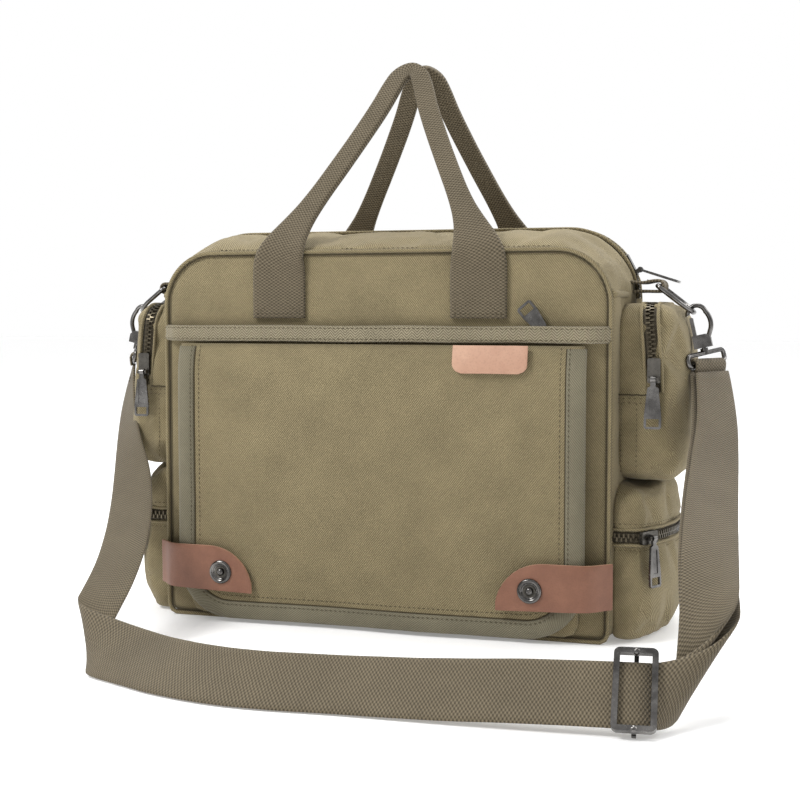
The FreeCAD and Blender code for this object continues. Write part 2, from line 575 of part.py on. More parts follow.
def smooth_halves(stations, rows):
    """The width turns evenly along the route instead of jumping from point to point."""
    places = [s[0] for s in stations]
    walk = [0.0]
    for a, b in zip(places, places[1:]):
        walk.append(walk[-1] + (b - a).Length)
    marks = []
    for point, half in rows:
        near = min(range(len(places)), key=lambda i: (places[i] - point).Length)
        marks.append((walk[near], half))
    marks[0], marks[-1] = (0.0, rows[0][1]), (walk[-1], rows[-1][1])
    out = []
    for s, (place, _, thick) in zip(walk, stations):
        k = max(0, min(len(marks) - 2, sum(m[0] <= s for m in marks) - 1))
        (s0, h0), (s1, h1) = marks[k], marks[k + 1]
        share = (s - s0) / max(s1 - s0, 0.001)
        out.append((place, h0 + (h1 - h0) * share, thick))
    return out


def strap():
    save("strap_left_run", ribbon(routed(STRAP_LEFT)))
    save("strap_right_run", ribbon(routed(STRAP_RIGHT)))
    save("strap_return", ribbon(routed(STRAP_RETURN)))


def slide_buckle():
    """Frame round the strap, with a centre bar behind the outer layer and two ball ends."""
    (before, _), (last, half) = STRAP_LEFT[-2:]
    along = (last - before).normalize()
    out = half.cross(along).normalize()
    w, h, r = 10.0, 22.4, RING_R
    frame = block(-w - r, w + r, -h - r, h + r, -r, r)
    frame = frame.makeFillet(3.5, [e for e in frame.Edges if e.BoundBox.ZLength > 1])
    frame = frame.cut(block(r - w, w - r, r - h, h - r, -3, 3))
    bar_r = 1.2
    deep = r + WEB_T + 2 * GAP + bar_r
    frame = frame.fuse(block(-bar_r, bar_r, -h - r, h + r, -deep - bar_r, bar_r - deep))
    for v in (-h, h):
        frame = frame.fuse(block(-bar_r, bar_r, v - bar_r, v + bar_r, -deep, 0))
        frame = frame.fuse(Part.makeSphere(2.3, V(0, v, 0)))
    up = out.cross(along)
    up = up if up.z > 0 else up * -1
    origin = last - along * 9 + out * (WEB_T / 2 + r + GAP) + up * 1.7
    save("slide_buckle", placed(frame, origin, along, out))


body_panels()
front_pocket()
flap()
leather_tab()
upper_pocket()
lower_pocket()
main_slider()
handles()
side_loop_and_ring()
snap_hook()
swivel_eye()
strap()
slide_buckle()
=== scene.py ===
import bpy
import math
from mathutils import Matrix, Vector, noise


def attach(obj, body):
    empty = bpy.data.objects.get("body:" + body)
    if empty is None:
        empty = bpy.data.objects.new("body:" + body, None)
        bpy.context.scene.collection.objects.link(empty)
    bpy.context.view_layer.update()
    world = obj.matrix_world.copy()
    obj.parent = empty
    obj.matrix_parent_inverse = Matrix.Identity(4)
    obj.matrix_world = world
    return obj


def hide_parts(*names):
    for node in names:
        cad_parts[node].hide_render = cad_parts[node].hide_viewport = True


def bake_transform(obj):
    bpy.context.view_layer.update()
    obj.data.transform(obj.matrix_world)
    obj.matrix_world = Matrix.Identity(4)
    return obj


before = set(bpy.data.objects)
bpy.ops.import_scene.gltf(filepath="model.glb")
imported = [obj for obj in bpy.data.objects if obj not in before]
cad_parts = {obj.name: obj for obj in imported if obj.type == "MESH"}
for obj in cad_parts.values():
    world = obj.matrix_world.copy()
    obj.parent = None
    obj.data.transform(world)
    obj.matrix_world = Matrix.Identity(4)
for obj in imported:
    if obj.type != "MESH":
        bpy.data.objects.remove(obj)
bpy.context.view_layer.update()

# Lengths are millimetres and MM turns them into metres. Only the strap's routes and the
# sizes inside shaders are already in metres.
MM = 0.001
X, Y, Z = Vector((1, 0, 0)), Vector((0, 1, 0)), Vector((0, 0, 1))
SIDES = (("right", 1), ("left", -1))
collection = bpy.context.scene.collection


# ---- shader building --------------------------------------------------------------------
class Shader:
    """A material and short calls that add its nodes."""

    def __init__(self, name):
        self.material = bpy.data.materials.new(name)
        self.material.use_nodes = True
        self.tree = self.material.node_tree
        self.bsdf = self.tree.nodes["Principled BSDF"]

    def put(self, socket, value):
        if isinstance(value, bpy.types.NodeSocket):
            self.tree.links.new(value, socket)
        elif socket.type == "VECTOR":
            socket.default_value = tuple(value)[:3]
        else:
            socket.default_value = value

    def add(self, kind, settings=(), **inputs):
        node = self.tree.nodes.new("ShaderNode" + kind)
        for key, value in dict(settings).items():
            setattr(node, key, value)
        for key, value in inputs.items():
            self.put(node.inputs[key.replace("_", " ")], value)
        return node

    def math(self, operation, a, b=0.0):
        node = self.add("Math", {"operation": operation})
        self.put(node.inputs[0], a)
        self.put(node.inputs[1], b)
        return node.outputs[0]

    def noise(self, where, scale, detail=4, rough=0.6):
        return self.add("TexNoise", Vector=where, Scale=scale, Detail=detail,
                        Roughness=rough).outputs["Fac"]

    def remap(self, value, low, high, to_low, to_high):
        node = self.add("MapRange", Value=value, From_Min=low, From_Max=high,
                        To_Min=to_low, To_Max=to_high)
        return node.outputs[0]

    def mix(self, factor, a, b):
        node = self.add("MixRGB")
        self.put(node.inputs[0], factor)
        self.put(node.inputs[1], a)
        self.put(node.inputs[2], b)
        return node.outputs[0]

    def shade(self, colour, value):
        """Colour times a grey value."""
        node = self.add("VectorMath", {"operation": "SCALE"})
        self.put(node.inputs[0], colour)
        self.put(node.inputs["Scale"], value)
        return node.outputs[0]

    def set(self, **inputs):
        for key, value in inputs.items():
            self.put(self.bsdf.inputs[key.replace("_", " ")], value)

    def bump(self, height, distance, strength=1.0):
        node = self.add("Bump", Height=height, Distance=distance, Strength=strength)
        self.put(self.bsdf.inputs["Normal"], node.outputs[0])


def rgb(r, g, b):
    return (r, g, b, 1.0)


def fabric(name, light, dark, pitch, weave, relief, mottle=0.16, specks=0.5, sheen=0.1):
    """Woven cloth on a UV map in metres. pitch is the thread period in mm."""
    s = Shader(name)
    uv = s.add("UVMap").outputs[0]
    parts = s.add("SeparateXYZ", Vector=uv)
    u, v = parts.outputs[0], parts.outputs[1]
    wobble = s.math("MULTIPLY", s.noise(uv, 160.0, 2), pitch * MM * 0.7)
    u = s.math("ADD", u, wobble)
    turn = 2 * math.pi / (pitch * MM)
    if weave == "herringbone":
        v = s.math("PINGPONG", v, 0.0036)
        lines = s.math("ADD", s.math("MULTIPLY", u, turn), s.math("MULTIPLY", v, turn))
        height = s.math("SINE", lines)
    elif weave == "twill":
        lines = s.math("ADD", s.math("MULTIPLY", u, turn), s.math("MULTIPLY", v, turn * 0.8))
        height = s.math("SINE", lines)
    else:
        rise = 0.62 if weave == "basket" else 1.0
        height = s.math("MULTIPLY", s.math("SINE", s.math("MULTIPLY", u, turn * rise)),
                        s.math("SINE", s.math("MULTIPLY", v, turn)))
    height = s.remap(height, -1.0, 1.0, 0.0, 1.0)
    fine = s.noise(uv, 2600.0, 3, 0.7)
    height = s.math("ADD", s.math("MULTIPLY", height, 0.75), s.math("MULTIPLY", fine, 0.4))
    colour = s.mix(s.remap(height, 0.15, 0.95, 0.0, 1.0), dark, light)
    streak = s.add("Mapping", Vector=uv, Scale=(1.0, 9.0, 1.0)).outputs[0]
    cloud = s.noise(uv, 26.0, 6, 0.65)
    cloud = s.math("ADD", cloud, s.math("MULTIPLY", s.noise(streak, 230.0, 4, 0.7), 0.6))
    cloud = s.math("ADD", cloud, s.math("MULTIPLY", s.noise(uv, 520.0, 4, 0.8), specks))
    middle = 0.5 * (1.6 + specks)
    colour = s.shade(colour, s.remap(cloud, middle - 0.45, middle + 0.45, 1 - mottle * 1.6, 1 + mottle * 1.6))
    s.set(Base_Color=colour, Roughness=0.88, Sheen_Weight=sheen, Sheen_Roughness=0.5,
          Specular_IOR_Level=0.2)
    s.bump(height, relief * MM, 0.9)
    return s.material


def leather(name, light, dark, rough, grain=900.0):
    s = Shader(name)
    where = s.add("TexCoord").outputs["Object"]
    cells = s.add("TexVoronoi", Vector=where, Scale=grain).outputs["Distance"]
    cloud = s.noise(where, 45.0, 6, 0.65)
    pores = s.noise(where, 1500.0, 3, 0.6)
    colour = s.mix(s.remap(cloud, 0.3, 0.7, 0.0, 1.0), dark, light)
    colour = s.shade(colour, s.remap(cells, 0.0, 0.5, 0.9, 1.04))
    height = s.math("ADD", s.math("MULTIPLY", cells, 0.7), s.math("MULTIPLY", pores, 0.4))
    s.set(Base_Color=colour, Roughness=s.remap(cloud, 0.3, 0.7, rough, rough + 0.14),
          Specular_IOR_Level=0.4)
    s.bump(height, 0.00022, 0.6)
    return s.material


def metal(name, colour, rough, scale=420.0):
    s = Shader(name)
    where = s.add("TexCoord").outputs["Object"]
    wear = s.noise(where, scale, 5, 0.6)
    # Painted reflection: broad patches of lighter and darker base colour stand in for the dark reflections
    # and highlights of the metal.
    painted_reflection_noise = s.noise(where, 60.0, 4, 0.6)
    painted_reflection_colour = s.shade(colour, s.remap(painted_reflection_noise, 0.35, 0.65, 0.6, 1.7))
    s.set(Base_Color=painted_reflection_colour, Metallic=1.0,
          Roughness=s.remap(wear, 0.3, 0.7, rough - 0.07, rough + 0.12))
    s.bump(wear, 0.00006, 0.4)
    return s.material


CANVAS = fabric("canvas", rgb(0.285, 0.236, 0.134), rgb(0.112, 0.088, 0.046), 1.5, "twill", 0.32, 0.2, 0.9)
WEBBING = fabric("webbing", rgb(0.180, 0.148, 0.098), rgb(0.034, 0.026, 0.015), 2.1, "basket",
                 0.55, 0.14, 0.5)
TWILL = fabric("twill_tape", rgb(0.300, 0.262, 0.178), rgb(0.105, 0.088, 0.055), 1.9, "herringbone", 0.3)
BINDING = fabric("binding_tape", rgb(0.205, 0.186, 0.128), rgb(0.100, 0.088, 0.058), 1.5, "twill", 0.2)
ZIP_TAPE = fabric("zipper_tape", rgb(0.085, 0.070, 0.045), rgb(0.030, 0.024, 0.016), 1.1, "twill", 0.15)
THREAD = fabric("thread", rgb(0.105, 0.082, 0.045), rgb(0.045, 0.034, 0.017), 0.6, "twill", 0.05)
PALE_THREAD = fabric("pale_thread", rgb(0.42, 0.35, 0.22), rgb(0.21, 0.165, 0.09), 0.6, "twill", 0.05)
# Painted shade: near-black cloth for thin tubes laid along seams, standing in for the shade in the seam
# creases.
CREASE_SHADE = fabric("crease", rgb(0.070, 0.055, 0.028), rgb(0.034, 0.026, 0.013), 0.9, "plain", 0.1)
TAB_LEATHER = leather("tab_leather", rgb(0.235, 0.108, 0.066), rgb(0.165, 0.070, 0.042), 0.42)
LEATHER_EDGE = leather("leather_edge", rgb(0.46, 0.27, 0.17), rgb(0.30, 0.16, 0.095), 0.6)
LABEL_LEATHER = leather("label_leather", rgb(0.475, 0.290, 0.200), rgb(0.385, 0.215, 0.145), 0.5, 650.0)
GUNMETAL = metal("gunmetal", rgb(0.125, 0.120, 0.115), 0.2)
# Dark metal of the sliders, also used as painted shade for the recess inside each snap ring.
DARK_METAL_AND_RECESS_SHADE = metal("dark_metal_and_recess_shade", rgb(0.075, 0.070, 0.062), 0.28)
TEETH = metal("zipper_teeth", rgb(0.085, 0.072, 0.050), 0.32)


# ---- mesh building ----------------------------------------------------------------------
def vec(p):
    return Vector(p)


def piece(name, points, faces, material, uvs=None, smooth=True):
    """A mesh object from millimetre points."""
    mesh = bpy.data.meshes.new(name)
    mesh.from_pydata([Vector(p) * MM for p in points], [], faces)
    mesh.update()
    mesh.materials.append(material)
    if uvs:
        layer = mesh.uv_layers.new(name="UVMap")
        for loop in mesh.loops:
            layer.data[loop.index].uv = uvs[loop.vertex_index]
    for polygon in mesh.polygons:
        polygon.use_smooth = smooth
    obj = bpy.data.objects.new(name, mesh)
    collection.objects.link(obj)
    if not uvs:
        box_uv(obj)
    return obj


def box_uv(obj):
    """UV in metres, each face taken from its nearest axis direction."""
    mesh = obj.data
    layer = mesh.uv_layers.get("UVMap") or mesh.uv_layers.new(name="UVMap")
    for polygon in mesh.polygons:
        n = polygon.normal
        size = [abs(n.x), abs(n.y), abs(n.z)]
        axis = size.index(max(size))
        keep = [(1, 2), (0, 2), (0, 1)][axis]
        for i in polygon.loop_indices:
            co = mesh.vertices[mesh.loops[i].vertex_index].co
            layer.data[i].uv = (co[keep[0]], co[keep[1]])


def walk(points):
    """Distances along a line of points, in metres."""
    out = [0.0]
    for a, b in zip(points, points[1:]):
        out.append(out[-1] + (vec(b) - vec(a)).length * MM)
    return out


def grid(name, rows, material, wrap=False, caps=False, thick=0.0, offset=0.0):
    """Surface through rows of points; wrap closes each row, caps closes the two ends.
    thick gives an open surface a thickness in mm."""
    n = len(rows[0])
    middle = [row[n // 2] for row in rows]
    along = walk(middle)
    points, uvs = [], []
    for row, v in zip(rows, along):
        across = walk(row)
        half = across[-1] / 2
        points += row
        uvs += [(u - half, v) for u in across]
    faces = []
    for r in range(len(rows) - 1):
        for i in range(n if wrap else n - 1):
            j = (i + 1) % n
            faces.append((r * n + i, r * n + j, (r + 1) * n + j, (r + 1) * n + i))
    if caps:
        faces.append(tuple(range(n))[::-1])
        faces.append(tuple((len(rows) - 1) * n + i for i in range(n)))
    obj = piece(name, points, faces, material, uvs)
    if thick:
        solid = obj.modifiers.new("thickness", "SOLIDIFY")
        solid.thickness = thick * MM
        solid.offset = offset
    return obj


def resample(points, pitch):
    """Points evenly spaced along a line."""
    marks = walk(points)
    count = max(2, round(marks[-1] / (pitch * MM)) + 1)
    out, k = [], 0
    for i in range(count):
        s = marks[-1] * i / (count - 1)
        while k < len(marks) - 2 and marks[k + 1] < s:
            k += 1
        share = (s - marks[k]) / max(marks[k + 1] - marks[k], 1e-9)
        out.append(vec(points[k]).lerp(vec(points[k + 1]), share))
    return out


def tangents(points):
    out = []
    for i in range(len(points)):
        a, b = points[max(i - 1, 0)], points[min(i + 1, len(points) - 1)]
        out.append((vec(b) - vec(a)).normalized())
    return out


def cord_piece(name, points, radius, material, sides=8):
    """Round cord or wire along points."""
    points = [vec(p) for p in points]
    rows = []
    up = Vector((0.3, -0.5, 0.8))
    for p, t in zip(points, tangents(points)):
        side = t.cross(up).normalized()
        up = side.cross(t).normalized()
        rows.append([p + (side * math.cos(a) + up * math.sin(a)) * radius
                     for a in [2 * math.pi * k / sides for k in range(sides)]])
    return grid(name, rows, material, wrap=True, caps=True)


def stitches(name, lines, material=THREAD, pitch=3.3, length=2.4, radius=0.34):
    """Rows of single stitches along lines, all in one piece."""
    points, faces = [], []
    for line in lines:
        line = resample(line, pitch)
        for p, t in zip(line, tangents(line)):
            up = Y if abs(t.y) < 0.7 else Z
            side = t.cross(up).normalized()
            up = side.cross(t)
            start = len(points)
            points += [p - t * length / 2, p + t * length / 2]
            for k in range(5):
                a = 2 * math.pi * k / 5
                points.append(p + (side * math.cos(a) + up * math.sin(a)) * radius)
            for k in range(5):
                a, b = start + 2 + k, start + 2 + (k + 1) % 5
                faces += [(start, b, a), (start + 1, a, b)]
    return piece(name, points, faces, material)


def ripple(p, size, scale):
    """Soft unevenness of hand-sewn cloth, by place."""
    return noise.noise(Vector(p) * scale) * size


def mirrored(p, sign):
    return Vector((p[0] * sign, p[1], p[2]))


def handed(rows, sign):
    """Right-hand rows, or their mirror image with the faces kept outwards."""
    if sign > 0:
        return [[vec(p) for p in row] for row in rows]
    return [[mirrored(p, -1) for p in row] for row in rows[::-1]]


# ---- soft shells ------------------------------------------------------------------------
def arch_loop(w, top, r, foot_r):
    """Closed outline in XZ, from the bottom centre round the right side."""
    half = [(w - foot_r) * k / 9 for k in range(9)]
    right = [(x, 0) for x in half]
    right += [(w - foot_r + foot_r * math.sin(a), foot_r - foot_r * math.cos(a))
              for a in [math.pi / 2 * k / 5 for k in range(5)]]
    right += [(w, foot_r + (top - r - foot_r) * k / 18) for k in range(18)]
    right += [(w - r + r * math.cos(a), top - r + r * math.sin(a))
              for a in [math.pi / 2 * k / 14 for k in range(14)]]
    right += [((w - r) * (1 - k / 14), top) for k in range(15)]
    return right + [(-x, z) for x, z in right[1:-1][::-1]]


def soften(obj, voxel, held, pressure, slack, travel, frames=16):
    """Stuffed cloth: even mesh, a short cloth simulation held at the seams, then smoothing.
    held(point in mm) is 0 to 1."""
    bpy.context.view_layer.objects.active = obj
    remesh = obj.modifiers.new("remesh", "REMESH")
    remesh.mode = "VOXEL"
    remesh.voxel_size = voxel * MM
    remesh.use_smooth_shade = True
    with bpy.context.temp_override(object=obj, active_object=obj):
        bpy.ops.object.modifier_apply(modifier="remesh")
    group = obj.vertex_groups.new(name="held")
    start = [v.co.copy() for v in obj.data.vertices]
    for i, co in enumerate(start):
        weight = held(co / MM)
        if weight > 0:
            group.add([i], weight, "REPLACE")
    cloth = obj.modifiers.new("cloth", "CLOTH")
    c = cloth.settings
    c.quality = 6
    c.mass = 0.25
    c.tension_stiffness = c.compression_stiffness = 18
    c.shear_stiffness = 6
    c.bending_stiffness = 0.35
    c.use_pressure = True
    c.uniform_pressure_force = pressure
    c.shrink_min = -slack
    c.vertex_group_mass = "held"
    c.effector_weights.gravity = 0
    cloth.point_cache.frame_end = frames
    for f in range(1, frames + 1):
        bpy.context.scene.frame_set(f)
    ready = obj.evaluated_get(bpy.context.evaluated_depsgraph_get()).to_mesh()
    moved = [v.co.copy() for v in ready.vertices]
    obj.modifiers.remove(cloth)
    bpy.context.scene.frame_set(1)
    limit = travel * MM
    for v, a, b in zip(obj.data.vertices, start, moved):
        step = b - a
        v.co = a + step * min(1.0, limit / max(step.length, 1e-9))
        v.co.z = max(v.co.z, 0.0004)
    smooth = obj.modifiers.new("smooth", "SMOOTH")
    smooth.iterations = 2
    smooth.factor = 0.4
    obj.data.update()
    box_uv(obj)
    fine = obj.modifiers.new("fine", "SUBSURF")
    fine.levels = fine.render_levels = 1
    for polygon in obj.data.polygons:
        polygon.use_smooth = True
    return obj


def shell(name, loops, material):
    """Closed shell through closed loops, ends capped."""
    return grid(name, [[vec(p) for p in loop] for loop in loops], material,
                wrap=True, caps=True)


# ---- body -------------------------------------------------------------------------------
def crown(y):
    """Share of the gusset's swelling at depth y."""
    return 1 - abs(y / 68.0) ** 1.8


def body_loop(y, inset=0.0):
    k = crown(y)
    loop = arch_loop(158 + 6 * k - inset, 257 + 14 * k - inset, 36 + 10 * k, 9)
    return [(x, y, max(z, 0.6 + inset)) for x, z in loop]


def body():
    front_half = [-67.6, -67.2, -65, -60, -52, -42, -30, -18, -9]
    depths = front_half + [0] + [-y for y in front_half[::-1]]
    obj = shell("bag_body", [body_loop(-67.8, 1.2)] + [body_loop(y) for y in depths]
                + [body_loop(67.8, 1.2)], CANVAS)

    def held(p):
        if p.z < 6 or abs(p.y) < 9:
            return 1.0
        if p.y < -66 and p.z < 212:
            return 1.0
        if p.z < 216 and abs(p.x) > 150:
            return 1.0
        if abs(p.y) > 65.5:
            return 0.8
        return 0.0

    soften(obj, 5.0, held, 1.2, 0.035, 3.5)
    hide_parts("front_panel", "back_panel", "side_panel_left", "side_panel_right",
                "bottom_panel", "bottom_board", "top_gusset_front", "top_gusset_rear")
    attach(obj, "bag")
    for name, y in (("front", -68.0), ("rear", 68.0)):
        side = -1 if y < 0 else 1
        loop = [(x, y + side * 0.3, max(z, 1.6)) for x, z in arch_loop(157.2, 256.4, 35.4, 9)]
        loop = resample(loop + loop[:1], 4)
        lip = cord_piece(name + "_seam_lip", [p - Y * side * 0.9 for p in loop], 1.5, CANVAS)
        # A thin dark tube just inside the seam: painted shade of the crease.
        inner = [(x, y + side * 0.15, max(z, 3.6)) for x, z in arch_loop(155.0, 254.2, 33.4, 9)]
        dark = cord_piece(name + "_seam_crease_shade", resample(inner + inner[:1], 4), 0.42, CREASE_SHADE,
                          6)
        upper = [p for p in loop if p.z > 228]
        top = [p + Y * -side * 4.5 + Z * 2.2 for p in upper if abs(p.x) < 118]
        sew = stitches(name + "_seam_stitch", [top])
        for o in (lip, dark, sew):
            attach(o, "bag")
    for side, s in SIDES:
        rows = []
        for y in (-66.5, -58, -46, -32, -20, -10):
            k = crown(y)
            x = 157.5 + 5.6 * k
            section = ((0, 230), (1.9, 228.4), (2.1, 226.4), (1.2, 225.2), (-2.5, 224.6), (-2.5, 229))
            rows.append([vec((s * (x + out), y, z)) for out, z in section])
        fold = grid("gusset_fold_" + side, rows, CANVAS, wrap=True, caps=True)
        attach(fold, "bag")


def zipper(name, points, normals, half, node):
    """Tape and interlocking teeth along points, with the outward normal at each point."""
    line = resample(points, 1.5)
    marks = walk(points)
    steps = walk(line)
    ups = []
    k = 0
    for s in steps:
        while k < len(marks) - 2 and marks[k + 1] < s:
            k += 1
        share = min(1, (s - marks[k]) / max(marks[k + 1] - marks[k], 1e-9))
        ups.append(vec(normals[k]).lerp(vec(normals[k + 1]), share).normalized())
    rows, verts, faces = [], [], []
    for i, (p, up, t) in enumerate(zip(line, ups, tangents(line))):
        side = t.cross(up).normalized()
        if i % 2 == 0 or i == len(line) - 1:
            rows.append([p + side * u + up * (0.2 if abs(u) < half else -0.1)
                         for u in (-half, -half * 0.5, -1.4, 0, 1.4, half * 0.5, half)])
        way = 1 if i % 2 else -1
        centre = p + side * way * 0.95 + up * 0.95
        start = len(verts)
        for a in (-0.5, 0.5):
            for b, c in ((-1.7, -0.75), (1.2, -0.75), (1.6, 0), (1.2, 0.75), (-1.7, 0.6)):
                verts.append(centre + t * a - side * way * b + up * c)
        faces += [tuple(start + i for i in (4, 3, 2, 1, 0)), tuple(start + 5 + i for i in range(5))]
        faces += [(start + i, start + (i + 1) % 5, start + 5 + (i + 1) % 5, start + 5 + i)
                  for i in range(5)]
    tape = grid(name, rows, ZIP_TAPE, thick=0.5, offset=-1)
    teeth = piece(name + "_teeth", verts, faces, TEETH, smooth=False)
    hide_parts(node)
    for o in (tape, teeth):
        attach(o, "bag")


def main_zipper():
    points, normals = [], []
    for x, z in arch_loop(164.9, 271.9, 46.5, 9):
        if z > 220:
            points.append(vec((x, 0, z)))
            corner = vec((max(-118.0, min(118.0, x)), 0, 225.0))
            normal = points[-1] - corner
            normals.append(Z if abs(x) < 118 else normal.normalized())
    start = min(range(len(points)), key=lambda i: (points[i].x < 0, points[i].z))
    points = points[start:] + points[:start]
    normals = normals[start:] + normals[:start]
    zipper("main_zipper", points, normals, 6.8, "main_zipper_chain")
    for name, y in (("front", -7.6), ("rear", 7.6)):
        edge = [p + n * 0.5 + Y * y for p, n in zip(points, normals)]
        lip = cord_piece("zip_lip_" + name, resample(edge, 4), 1.3, CANVAS)
        sew = stitches("zip_stitch_" + name, [[p + n * 0.55 + Y * y * 1.55 for p, n in zip(points, normals)]])
        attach(lip, "bag")
        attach(sew, "bag")


# ---- front ------------------------------------------------------------------------------
def under_pocket():
    def ring(y, grow):
        w, low, high = 138 + grow, 4 - grow, 190
        return [vec((x, y, z)) for x, z in
                [(-w, low + 8), (-w + 3, low + 2), (-w + 9, low)]
                + [(-w + 9 + (2 * w - 18) * k / 20, low) for k in range(1, 20)]
                + [(w - 9, low), (w - 3, low + 2), (w, low + 8), (w, 100), (w, high - 10), (w, high)]
                + [(w - 2 * w * k / 20, high) for k in range(1, 20)]
                + [(-w, high), (-w, high - 10), (-w, 100)]]
    low = [ring(-68.2, 0), ring(-70, 0), ring(-71.6, -0.6), ring(-72.4, -3)]
    obj = grid("under_flap_pocket", low, CANVAS, wrap=True, caps=True)
    box_uv(obj)
    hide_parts("front_pocket")
    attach(obj, "bag")


def band():
    rows = []
    end = [-157.5, -155, -151, -147, -142]
    xs = end + [-136 + 8 * k for k in range(35)] + [-x for x in end[::-1]]
    for x in xs:
        turn = max(0.0, (abs(x) - 146) / 11.5)
        y = -76.4 + 7.8 * turn * turn * (3 - 2 * turn) + ripple((x, 0, 0), 0.25, 0.04)
        lift = ripple((x, 9, 0), 0.6, 0.02)
        section = ((0.9, 195.6), (0, 196.4), (-0.25, 198.5), (-0.1, 201), (-0.25, 203.5), (0, 205.8),
                   (0.9, 206.6))
        rows.append([vec((x, y + dy, z + lift)) for dy, z in section])
    obj = grid("zip_band", rows, TWILL, thick=1.3, offset=1)
    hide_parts("front_band")
    lines = [[vec((x, row[1].y - 0.3, z)) for x, row in zip(xs, rows)] for z in (197.4, 204.8)]
    sew = stitches("zip_band_stitch", lines)
    points = [(x, -69.2, 201) for x in range(-136, 137, 8)]
    zipper("front_zipper", points, [(0, -1, 0)] * len(points), 5.0, "front_zipper_chain")
    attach(obj, "bag")
    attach(sew, "bag")


def flap_edge(inset):
    """The flap's border from the top left, round the bottom, to the top right, in XZ, with
    the inward normal."""
    w, low, r = 142.5, 3.5, 38.0
    out = [((-w, z), (1, 0)) for z in [192 - 7 * k for k in range(22)]]
    out += [((r - w + r * math.cos(a), low + r + r * math.sin(a)), (-math.cos(a), -math.sin(a)))
            for a in [math.pi + math.pi / 2 * k / 12 for k in range(13)]]
    out += [((r - w + (2 * w - 2 * r) * k / 34, low), (0, 1)) for k in range(1, 34)]
    right = [((-x, z), (-nx, nz)) for (x, z), (nx, nz) in out[:35]][::-1]
    out += right
    return [(x + nx * inset, z + nz * inset) for (x, z), (nx, nz) in out]


def flap_face(x, z):
    """Front surface of the flap."""
    low = max(0.0, (70 - z) / 66)
    wave = ripple((x, 3, z), 0.9, 0.018) + ripple((x, 1, z), 0.35, 0.07)
    top = max(0.0, (z - 172) / 20)
    return -79.6 - wave * (0.5 + low) + 3.6 * top * top - 0.9 * low * math.sin(x / 26.0)


def flap():
    rows = []
    for k in range(46):
        z = 194.0 - 190.2 * k / 45
        drop = max(0.0, 41.5 - z)
        half = 142.0 - (38 - math.sqrt(max(0.0, 38 ** 2 - drop ** 2)))
        row = []
        for i in range(61):
            x = half * (2 * i / 60 - 1)
            row.append(vec((x, flap_face(x, z), z)))
        rows.append(row)
    obj = grid("flap_cloth", rows, CANVAS, thick=3.6, offset=1)
    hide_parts("flap_panel")
    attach(obj, "flap")
    profile = [(11.6, -0.25), (11.0, -1.1), (6, -1.35), (1.5, -1.2), (-0.5, 0.2), (-0.9, 2.0),
               (-0.5, 3.9), (1.5, 4.9), (6, 5.1), (11, 4.9), (11, 3.6), (4, 3.4), (4, 0.6), (11, 0.4)]
    lanes = [(flap_edge(inset), dy) for inset, dy in profile]
    rows = []
    for i in range(len(lanes[0][0])):
        row = []
        for lane, dy in lanes:
            x, z = lane[i]
            row.append(vec((x, flap_face(x, z) + dy, max(z, 1.0))))
        rows.append(row)
    border = grid("flap_binding_tape", rows, BINDING, wrap=True, caps=True)
    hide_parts("flap_binding")
    near, seam, far = [[(x, flap_face(x, z), z) for x, z in flap_edge(d)] for d in (9.6, 11.9, 15.5)]
    sew = stitches("flap_binding_stitch", [[vec(p) - Y * 1.5 for p in near]])
    # Dark tube at the binding's seam: painted shade of the crease.
    crease = cord_piece("flap_binding_crease_shade", resample(seam, 4), 0.55, CREASE_SHADE, 6)
    sew_two = stitches("flap_stitch", [[vec(p) - Y * 0.25 for p in far]])
    for o in (border, sew, crease, sew_two):
        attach(o, "flap")


def rounded(w, low, high, r):
    """Outline of a plate in local (u, v): square top, two rounded lower corners."""
    out = [(-w, high), (-w, low + r)]
    out += [(-w + r - r * math.cos(a), low + r - r * math.sin(a))
            for a in [math.pi / 2 * k / 6 for k in range(1, 7)]]
    out += [(-u, v) for u, v in out[::-1]]
    return out


def label():
    def y_at(z):
        return -81.0 + max(0.0, z - 184) * 0.24
    rows = []
    for k in range(13):
        z = 175.8 + 18.0 * k / 12
        drop = max(0.0, 182 - z)
        half = 25.0 - (6 - math.sqrt(max(0.0, 36 - drop ** 2)))
        rows.append([vec((81 + half * (i / 8 - 1), y_at(z) - 0.5 * math.sin(math.pi * i / 16), z))
                     for i in range(17)])
    obj = grid("label_plate", rows[::-1], LABEL_LEATHER, thick=1.5, offset=-1)
    edge = obj.modifiers.new("edge", "BEVEL")
    edge.width = 0.0004
    edge.segments = 2
    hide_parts("leather_label")
    u = rounded(22.8, 178.2, 192.5, 5)
    sew = stitches("label_stitch", [[(81 + x, y_at(z) - 0.75, z) for x, z in u]], PALE_THREAD,
                   2.6, 1.9, 0.28)
    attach(obj, "flap")
    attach(sew, "flap")


